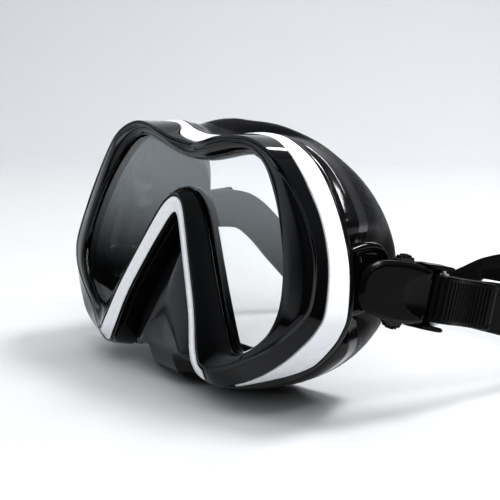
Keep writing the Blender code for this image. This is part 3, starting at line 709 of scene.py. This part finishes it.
def skirt_rows(pane, shoulder, rim):
    """Lines of the skirt's outer face, from behind the glass to the lip that meets the face."""
    seal = half_outline([to_pane(p) for p in SEAL_LINE], SKIRT_STEPS)
    below = [w - 0.5 for w in hollow_floor(rim)]
    behind = [w - 2.3 for _, _, w in rim]
    nose = ramp(NOSE_START - 1, NOSE_START + 0.2, SKIRT_STEPS)
    climb = [-8 + 4.4 * t for t in ramp(NOSE_START - 0.2, NOSE_START + 0.8, SKIRT_STEPS)]
    dent = [a * (1 - b) for a, b in zip(ramp(*DENT_UPPER, SKIRT_STEPS),
                                        ramp(*DENT_LOWER, SKIRT_STEPS))]
    centred = [u / SHOULDER[NOSE_START][0] for u, _, _ in shoulder]
    edge = outset(rim, 0.9)
    lip, chin, base, heel = ([(half * c, up, out) for c in centred]
                             for half, up, out in NOSE_POCKET)
    near_bead = at_depth(outset(rim, -0.7), [w - SKIRT_BEAD for w in behind])
    bulge = outset(mixed(near_bead, seal, 0.5), 1.6)
    # Each line is given as it runs round the lenses and, where it differs, under the nose.
    rows = [
        (at_depth(outset(pane, -0.3), -4.4), None),
        (at_depth(outset(pane, PANE_MARGIN), -4.4), None),
        (at_depth(outset(pane, PANE_MARGIN), [min(-6.6, w) for w in below]), None),
        (at_depth(outset(rim, -5), [min(a, b + 2.6) for a, b in zip(below, behind)]),
         at_depth(outset(rim, -2.6), behind)),
        (at_depth(outset(rim, -4.8), behind), at_depth(edge, behind)),
        (at_depth(outset(rim, -0.8), [w - 0.3 for w in behind]), at_depth(edge, climb)),
        (at_depth(outset(rim, -0.2), [w - SKIRT_BEAD / 2 for w in behind]),
         at_depth(mixed(edge, lip, 0.3), -0.4)),
        (near_bead, at_depth(mixed(edge, lip, 0.7), 1.6)),
        (mixed(near_bead, outset(bulge, -0.4), 0.1), lip),
        (outset(mixed(near_bead, seal, 0.25), 0.6), chin),
        (bulge, base),
        (outset(mixed(near_bead, seal, 0.78), 1.2), heel),
        (seal, None),
        (deeper(outset(seal, -4.5), -1.2), None),
        (deeper(outset(seal, -9), -4), None),
    ]
    found = [usual if special is None else mixed(usual, special, nose) for usual, special in rows]
    return [outset_by(line, [-depth * t for t in dent]) for line, depth in zip(found, DENT_DEPTHS)]


def crease(mesh, around):
    """Keeps the edges of the thick ring and the skirt's lip crisp."""
    sharpness = mesh.attributes.new("crease_edge", "FLOAT", "EDGE")
    for edge in mesh.edges:
        first, second = (index // around for index in edge.vertices)
        if first == second and first in CREASES:
            sharpness.data[edge.index].value = CREASES[first]


def add_skirt(matte, glossy):
    """A rubber wall round the lenses and under the nose, with a glossy ring and a matte panel."""
    outlines = [half_outline(rows, SKIRT_STEPS) for rows in (PANE_EDGE, SHOULDER, REAR_RIM)]
    lines = [[to_world(p) for p in whole(half)] for half in skirt_rows(*outlines)]
    points, faces = loft(lines, False)
    obj = add_mesh("soft_skirt", points, faces, [matte, glossy], closed=False)
    if obj.data.polygons[0].normal.y > 0:
        obj.data.flip_normals()
    around = len(lines[0])
    for index, polygon in enumerate(obj.data.polygons):
        if index // around in GLOSSY_LINES:
            polygon.material_index = 1
    crease(obj.data, around)
    smooth = obj.modifiers.new("smooth", "SUBSURF")
    smooth.levels = smooth.render_levels = 2
    wall = obj.modifiers.new("wall", "SOLIDIFY")
    wall.thickness = SKIRT_WALL * MM
    wall.offset = -1
    return obj


# --- buckles --------------------------------------------------------------------------------


def placed(side, p):
    """A buckle point (out, along, across) turned to its swivel angle, in world mm."""
    out, along, across = p
    angle = SWIVEL[side]
    cosine, sine = math.cos(angle), math.sin(angle)
    x, y, z = PIVOT
    return (SIDES[side] * (x + out), y + along * cosine - across * sine,
            z + along * sine + across * cosine)


def circle(radius, centre=(0, 0)):
    angles = [2 * math.pi * k / ROUND_STEPS for k in range(ROUND_STEPS)]
    return [(centre[0] + radius * math.cos(t), centre[1] + radius * math.sin(t)) for t in angles]


def both_ways(half):
    """A whole outline or profile from the half on one side of the middle."""
    return [*half, *((a, -b) for a, b in reversed(half))]


def softened(outline, rounds=2):
    """Chaikin's corner cutting, which keeps a closed outline inside its corners."""
    for _ in range(rounds):
        cut = []
        for a, b in zip(outline, [*outline[1:], outline[0]]):
            cut += [lerp(a, b, 0.2), lerp(a, b, 0.8)]
        outline = cut
    return outline


def inset(outline, distance):
    """Moves every point of a closed outline inwards, square to its neighbours."""
    area = sum(a[0] * b[1] - b[0] * a[1] for a, b in zip(outline, [*outline[1:], outline[0]]))
    turn = distance if area > 0 else -distance
    moved = []
    for before, p, after in zip([outline[-1], *outline], outline, [*outline[1:], outline[0]]):
        along, across = after[0] - before[0], after[1] - before[1]
        length = math.hypot(along, across) or 1
        moved.append((p[0] - across / length * turn, p[1] + along / length * turn))
    return moved


def drawn_in(outline, distance):
    """Shrinks an outline towards its middle, so that its tight corners can't cross."""
    low, high = min(a for a, _ in outline), max(a for a, _ in outline)
    middle, long, wide = (low + high) / 2, (high - low) / 2, max(b for _, b in outline)
    return [(middle + (a - middle) * (1 - distance / long), b * (1 - distance / wide))
            for a, b in outline]


def plate(side, name, outline, low, high, edge, look):
    """An outline raised between two heights, with both edges rounded."""
    rounding = [(edge * (1 - math.sin(t)), edge * (1 - math.cos(t)))
                for t in (math.pi / 2 * k / 4 for k in range(5))]
    rings = [(into, low + rise) for into, rise in rounding]
    rings += [(into, high - rise) for into, rise in reversed(rounding)]
    lines = [[placed(side, (out, a, b)) for a, b in inset(outline, into)] for into, out in rings]
    return solid(name, lines, look)


def joined(name, objects):
    """One object out of several that lie in the same frame and share a material."""
    points, faces = [], []
    for obj in objects:
        start = len(points)
        points += [vertex.co / MM - PANE_FROM_ORIGIN for vertex in obj.data.vertices]
        faces += [[start + i for i in polygon.vertices] for polygon in obj.data.polygons]
    looks = list(objects[0].data.materials)
    for obj in objects:
        bpy.data.objects.remove(obj)
    return even_normals(add_mesh(name, points, faces, looks))


def add_buckle_body(side, look):
    pieces = [plate(side, "plate", softened(both_ways(PLATE_HALF)), *PLATE_OUT, 0.4, look)]
    for up in (1, -1):
        outline = softened([(a, up * b) for a, b in ARM_HALF])
        pieces.append(plate(side, "arm", outline, *ARM_OUT, 0.35, look))
    return joined(f"buckle_base_{side}", pieces)


def scoop_points(side):
    """An ellipsoid whose tip hollows the cover towards its rear edge."""
    out, along = SCOOP_CENTRE
    deep, long, wide = SCOOP_HALF
    lines = []
    for k in range(1, SCOOP_STEPS):
        t = math.pi * k / SCOOP_STEPS
        lines.append([placed(side, (out + deep * math.sin(t) * math.sin(s),
                                    along + long * math.cos(t),
                                    wide * math.sin(t) * math.cos(s)))
                      for s in (math.pi * j / SCOOP_STEPS for j in range(2 * SCOOP_STEPS))])
    return capped(lines)


def add_buckle_cover(side, look):
    """The lid, with a rounded edge and a scoop for a fingertip."""
    near, far = COVER_OUT
    outline = softened(both_ways(COVER_HALF))
    rings = ((0.3, near), (0, near + 0.2), (0, far - 1.5), (0.15, far - 1.2),
             (1.1, far - 0.25), (1.5, far - 0.05), (2.2, far))
    lines = [[placed(side, (out, a, b)) for a, b in drawn_in(outline, into)] for into, out in rings]
    cover = add_mesh(f"buckle_lid_{side}", *capped(lines), [look])
    scoop = add_mesh("scoop", *scoop_points(side), [look])
    return even_normals(cut_from(cover, scoop))


def add_button(side, up, look):
    """A squeeze button with rounded ribs along its outer edge."""
    first, last = BUTTON_SPAN
    count = BUTTON_RIBS * BUTTON_RIB_STEPS
    edge = []
    for k in range(count + 1):
        t = k / count
        crown = BUTTON_CROWN - BUTTON_CROWN_FALL * (2 * t - 1) ** 2
        rib = BUTTON_RIB_HEIGHT * 0.5 * (1 - math.cos(2 * math.pi * BUTTON_RIBS * t))
        edge.append((first + (last - first) * t, crown + rib))
    turn = 1 if up == "upper" else -1
    outline = [(a, b * turn) for a, b in (*BUTTON_FRONT, *edge, *BUTTON_REAR)]
    return plate(side, f"squeeze_{up}_{side}", outline, *BUTTON_OUT, 0.25, look)


def turned(side, name, profile, centre, look):
    """A round piece on an axis across the strap; the profile holds (radius, across) points."""
    lines = [[placed(side, (out, along, across)) for out, along in circle(radius, centre)]
             for radius, across in profile]
    return solid(name, lines, look)


def add_roller(side, look):
    radius, half = ROLLER_RADIUS, ROLLER_HALF_LENGTH
    profile = both_ways(((radius - 0.7, -half), (radius - 0.2, -half), (radius, 0.2 - half)))
    return turned(side, f"roller_tube_{side}", profile, (ROLLER_OUT, ROLLER_ALONG), look)


def add_roller_pin(side, look):
    radius, half = ROLLER_PIN_RADIUS, PIN_HALF_LENGTH
    profile = both_ways(((radius - 0.3, -half), (radius, 0.3 - half)))
    return turned(side, f"roller_axle_{side}", profile, (ROLLER_OUT, ROLLER_ALONG), look)


def add_pivot_pin(side, look):
    lines = [[placed(side, (out, a, b)) for a, b in circle(radius)]
             for radius, out in PIN_PROFILE]
    return solid(f"pivot_stud_{side}", lines, look)


def add_pawl(side, look):
    outline = softened(list(PAWL_OUTLINE), 1)
    bevel = 0.25
    ends = both_ways(((bevel, -PAWL_HALF_LENGTH), (0, bevel - PAWL_HALF_LENGTH)))
    lines = [[placed(side, (out, PAWL_ALONG + along, across))
              for out, along in inset(outline, into)] for into, across in ends]
    return solid(f"latch_bar_{side}", lines, look)


def add_mount(side, look):
    """The wing from the frame's rear edge to the pivot, with a rounded rim along its top."""
    sections = []
    for y, lean, x, low, high, thick in smooth_line(MOUNT_ROWS, MOUNT_ROWS[0], MOUNT_ROWS[-1], 5):
        bottom, top, inner = PANE_HEIGHT + low, PANE_HEIGHT + high, x - thick
        section = ((inner, bottom), (x - 0.5, bottom), (x, bottom + 1.4), (x, top - 2.8),
                   (x + 0.7, top - 2), (x + 0.7, top - 0.7), (x - 0.4, top), (inner, top))
        sections.append([(SIDES[side] * px, y + lean * (pz - PANE_HEIGHT), pz)
                         for px, pz in section])
    corners = [list(line) for line in zip(*sections)]
    rounded = filleted(corners, (0.3, 0.5, 0.8, 0.8, 0.6, 0.8, 0.6, 0.3))
    return solid(f"buckle_wing_{side}", list(zip(*rounded)), look)


# --- strap ----------------------------------------------------------------------------------


def strap_rows():
    """Centre line of the strap from the left tail round both rollers to the right tail.
    Each row is a point, the direction across the strap, and its width."""
    wrap = ROLLER_RADIUS + FIT_GAP + STRAP_THICKNESS / 2
    rows = {}
    for side in SIDES:
        across = Vector(placed(side, (0, 0, 1))) - Vector(placed(side, (0, 0, 0)))
        inner = ROLLER_OUT - wrap
        tail_out = inner + STRAP_THICKNESS + LAYER_GAP
        tail = [(tail_out, ROLLER_ALONG + TAIL_LENGTH[side]), (tail_out + 0.3, ROLLER_ALONG + 15),
                (tail_out + 1.9, ROLLER_ALONG + 9), (ROLLER_OUT + wrap - 0.7, ROLLER_ALONG + 4)]
        turn = [(ROLLER_OUT + wrap * math.cos(t), ROLLER_ALONG - wrap * math.sin(t))
                for t in (math.pi * k / 8 for k in range(9))]
        main = [(inner, ROLLER_ALONG + 8), (inner, ROLLER_ALONG + 16)]
        rows[side] = [(Vector(placed(side, (out, along, 0))), across, STRAP_WIDTH)
                      for out, along in (*tail, *turn, *main)]
    back = [(Vector(place), Vector(across), width) for place, across, width in STRAP_ROUTE]
    return [*rows["left"], *back, *reversed(rows["right"])]


def resampled(line, spacing):
    """Points at an even spacing along a line of rows whose first three values are the place."""
    found, left = [line[0]], spacing
    for a, b in zip(line, line[1:]):
        length, start = math.dist(a[:3], b[:3]), 0.0
        while length - start >= left:
            start += left
            found.append(lerp(a, b, start / length))
            left = spacing
        left -= length - start
    return [*found, line[-1]]


def strap_section(half, thick, rib):
    """A flat band with raised edges; the outer face carries the rib."""
    rim, lip = half - 1.4, 0.25
    outer = [(half, thick * 0.4), (half - 0.3, thick + lip - 0.1), (half - 0.7, thick + lip),
             (rim, thick + lip * 0.6), (rim - 0.3, thick + rib), (rim - 0.7, thick + rib)]
    inner = [(-half, -thick * 0.4), (-half + 0.3, -thick + 0.15), (-half + 0.8, -thick)]
    return [*((-a, b) for a, b in outer), *outer[::-1], *((-a, b) for a, b in inner), *inner[::-1]]


def rib_rise(from_end):
    """Height of the moulded ribs at a distance from the tail's end."""
    wave = 0.5 + 0.5 * math.cos(2 * math.pi * from_end / RIB_PITCH)
    rib = min(1.0, max(0.0, (wave - 0.35) * 3))
    fade = min(1.0, max(0.0, RIB_LENGTH - from_end), max(0.0, (from_end - RIB_START) / 0.6))
    return RIB_HEIGHT * rib * fade


def add_strap(look):
    """The moulded strap in one piece, with its slotted pad."""
    flat = [(*point, *across.normalized(), width) for point, across, width in strap_rows()]
    fine = smooth_line(flat, flat[0], flat[-1], 16)
    line = resampled(fine, STRAP_SPACING)
    total = sum(math.dist(a[:3], b[:3]) for a, b in zip(line, line[1:]))
    sections, along = [], 0.0
    for before, row, after in zip([line[0], *line], line, [*line[1:], line[-1]]):
        along += math.dist(before[:3], row[:3])
        from_end = min(along, total - along)
        point, across, width = Vector(row[:3]), Vector(row[3:6]).normalized(), row[6]
        ahead = (Vector(after[:3]) - Vector(before[:3])).normalized()
        outward = ahead.cross(across).normalized()
        across = outward.cross(ahead).normalized()
        close = min(1.0, from_end / TAIL_ROUNDING)
        half = width / 2 - 0.8 * (1 - close) ** 2
        thick = STRAP_THICKNESS / 2 * (0.55 + 0.45 * close)
        sections.append([point + across * a + outward * b
                         for a, b in strap_section(half, thick, rib_rise(from_end))])
    strap = add_mesh("moulded_strap", *capped(sections), [look])
    return even_normals(cut_from(strap, pad_slot_cutter(look)))


def pad_slot_cutter(look):
    """A bar with round ends that cuts the slot through the pad."""
    end = [(SLOT_END + SLOT_HALF * math.cos(t), SLOT_HALF * math.sin(t))
           for t in (math.pi * (k / 16 - 0.5) for k in range(17))]
    outline = end + [(-x, -z) for x, z in end]
    lines = [[(x, y, PAD_WIDTH / 2 + z) for x, z in outline]
             for y in (STRAP_BACK - 15, STRAP_BACK + 15)]
    return add_mesh("slot_cutter", *capped(lines), [look])


# --- studio ---------------------------------------------------------------------------------


def facing(direction):
    """Rotation that points a camera or a light in a direction."""
    return direction.to_track_quat("-Z", "Y").to_euler()


def add_camera():
    camera = add_object("camera", bpy.data.cameras.new("camera"))
    camera.data.lens = LENS
    camera.data.shift_y = LENS_SHIFT
    camera.location = CAMERA_PLACE
    camera.rotation_euler = facing(CAMERA_AHEAD)
    SCENE.camera = camera


def pale_paper():
    look = Look("pale_paper")
    split = look.nodes.new("ShaderNodeSeparateXYZ")
    look.links.new(look.place, split.inputs["Vector"])
    # Above the floor the paper turns to the backdrop's greyer tone, which is painted shade.
    look.colours(split.outputs["Z"], FLOOR_TONE, SHADED_WALL_TONE, *TONE_STEP)
    look.roughness(look.noise(40, 3), 0.55, 0.7)
    return look.material


def add_sweep():
    """A floor that curves up into a backdrop behind the mask."""
    profile = [(a, 0.0) for a in SWEEP_FLOOR]
    start = SWEEP_FLOOR[-1]
    for k in range(1, SWEEP_STEPS + 1):
        t = math.pi / 2 * k / SWEEP_STEPS
        profile.append((start + SWEEP_RADIUS * math.sin(t), SWEEP_RADIUS * (1 - math.cos(t))))
    profile.append((start + SWEEP_RADIUS, SWEEP_TOP))
    points = [AHEAD * a + ACROSS * s + Vector((0, 0, z)) for a, z in profile for s in SWEEP_SIDES]
    wide = len(SWEEP_SIDES)
    faces = [(k * wide + i, k * wide + i + 1, (k + 1) * wide + i + 1, (k + 1) * wide + i)
             for k in range(len(profile) - 1) for i in range(wide - 1)]
    add_object("sweep", smooth_mesh("sweep", points, faces, [pale_paper()]))


def add_area(name, place, target, size, power, in_reflections=True):
    data = bpy.data.lights.new(name, "AREA")
    data.shape = "RECTANGLE"
    data.size, data.size_y = size
    data.energy = power
    light = add_object(name, data)
    light.location = place
    light.rotation_euler = facing(Vector(target) - Vector(place))
    light.visible_glossy = in_reflections


def add_world():
    """A dim room with a bright ceiling and a tall soft card in front of the mask's left half."""
    world = bpy.data.worlds.new("studio")
    world.use_nodes = True
    SCENE.world = world
    nodes, links = world.node_tree.nodes, world.node_tree.links
    direction = nodes.new("ShaderNodeTexCoord").outputs["Generated"]
    height = nodes.new("ShaderNodeSeparateXYZ")
    links.new(direction, height.inputs["Vector"])

    def stepped(value, low, high):
        node = nodes.new("ShaderNodeMapRange")
        node.interpolation_type = "SMOOTHSTEP"
        node.inputs["From Min"].default_value = low
        node.inputs["From Max"].default_value = high
        links.new(value, node.inputs["Value"])
        return node.outputs["Result"]

    def combined(operation, first, second):
        node = nodes.new("ShaderNodeMath")
        node.operation = operation
        for socket, value in zip(node.inputs, (first, second)):
            if isinstance(value, (int, float)):
                socket.default_value = value
            else:
                links.new(value, socket)
        return node.outputs["Value"]

    towards = nodes.new("ShaderNodeVectorMath")
    towards.operation = "DOT_PRODUCT"
    towards.inputs[1].default_value = CARD_TOWARDS
    links.new(direction, towards.inputs[0])
    squarely = stepped(towards.outputs["Value"], *CARD_EDGE)
    card = combined("MULTIPLY", squarely, stepped(height.outputs["Z"], *CARD_FOOT))
    ceiling = stepped(height.outputs["Z"], *CEILING_EDGE)
    lit = combined("ADD", combined("MULTIPLY", card, CARD_POWER),
                   combined("MULTIPLY", ceiling, CEILING_POWER))
    strength = combined("ADD", lit, ROOM_POWER)
    room = nodes["Background"]
    room.inputs["Color"].default_value = (*ROOM_COLOUR, 1)
    links.new(strength, room.inputs["Strength"])
    seen = nodes.new("ShaderNodeBackground")
    seen.inputs["Color"].default_value = (*EMPTY_COLOUR, 1)
    mix = nodes.new("ShaderNodeMixShader")
    links.new(nodes.new("ShaderNodeLightPath").outputs["Is Camera Ray"], mix.inputs["Fac"])
    links.new(room.outputs["Background"], mix.inputs[1])
    links.new(seen.outputs["Background"], mix.inputs[2])
    links.new(mix.outputs["Shader"], nodes["World Output"].inputs["Surface"])


def add_lights():
    add_world()
    add_area("overhead", (0.0, 0.1, 1.2), (0, 0, 0), (2.2, 2.2), 13.5, in_reflections=False)
    add_area("high_card", (0.26, 0.36, 1.0), MASK_MIDDLE, (0.42, 0.2), 7)
    add_area("rear_strip", (-0.35, 0.7, 0.7), MASK_MIDDLE, (0.6, 0.06), 1.6)
    add_area("side_strip", (0.85, 0.15, 0.8), MASK_MIDDLE, (0.5, 0.08), 1.8)
    add_area("low_strip", (0.5, -0.9, 0.5), MASK_MIDDLE, (0.05, 0.5), 0.5)
    add_area("fill", (0.9, -0.7, 0.8), (0, 0, 0.04), (0.9, 0.9), 6, in_reflections=False)


# --- assembly -------------------------------------------------------------------------------

BLACK = gloss_black()
# The buckle's body and lid take the darker copy of the gloss black, whose darkness is painted
# shade.
SHADED_SATIN = shaded_satin_black()
WHITE = white_polymer()
STEEL = brushed_steel()
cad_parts["lens_pane"].material_slots[0].material = tempered_glass()

PANE, CREST_LINE, SHOULDER_LINE, RIM = (half_outline(rows)
                                        for rows in (PANE_EDGE, CREST, SHOULDER, REAR_RIM))
settled(add_bezel(PANE, CREST_LINE, SHOULDER_LINE, BLACK), "front_bezel", "frame")
settled(add_nose_trim(CREST_LINE, SHOULDER_LINE, WHITE), "nose_trim", "frame")
settled(add_accent_band(PANE, SHOULDER_LINE, RIM, WHITE), "accent_band", "frame")
settled(add_frame(PANE, SHOULDER_LINE, RIM, BLACK), "main_frame", "frame")
settled(add_skirt(matte_silicone(), gloss_silicone()), "skirt", "frame")

for SIDE in SIDES:
    settled(add_mount(SIDE, BLACK), f"buckle_mount_{SIDE}", "frame")
    settled(add_pivot_pin(SIDE, BLACK), f"pivot_pin_{SIDE}", "frame")
    settled(add_buckle_body(SIDE, SHADED_SATIN), f"buckle_body_{SIDE}", "strap")
    settled(add_buckle_cover(SIDE, SHADED_SATIN), f"buckle_cover_{SIDE}", "strap")
    for UP in ("upper", "lower"):
        settled(add_button(SIDE, UP, BLACK), f"button_{UP}_{SIDE}", f"button_{UP}_{SIDE}")
    settled(add_pawl(SIDE, STEEL), f"latch_pawl_{SIDE}", f"latch_pawl_{SIDE}")
    settled(add_roller(SIDE, STEEL), f"strap_roller_{SIDE}", f"strap_roller_{SIDE}")
    settled(add_roller_pin(SIDE, STEEL), f"roller_pin_{SIDE}", "strap")
settled(add_strap(strap_silicone()), "head_strap", "strap")

SCENE.view_settings.view_transform = "Standard"
SCENE.view_settings.look = "Medium High Contrast"
add_camera()
add_sweep()
add_lights()
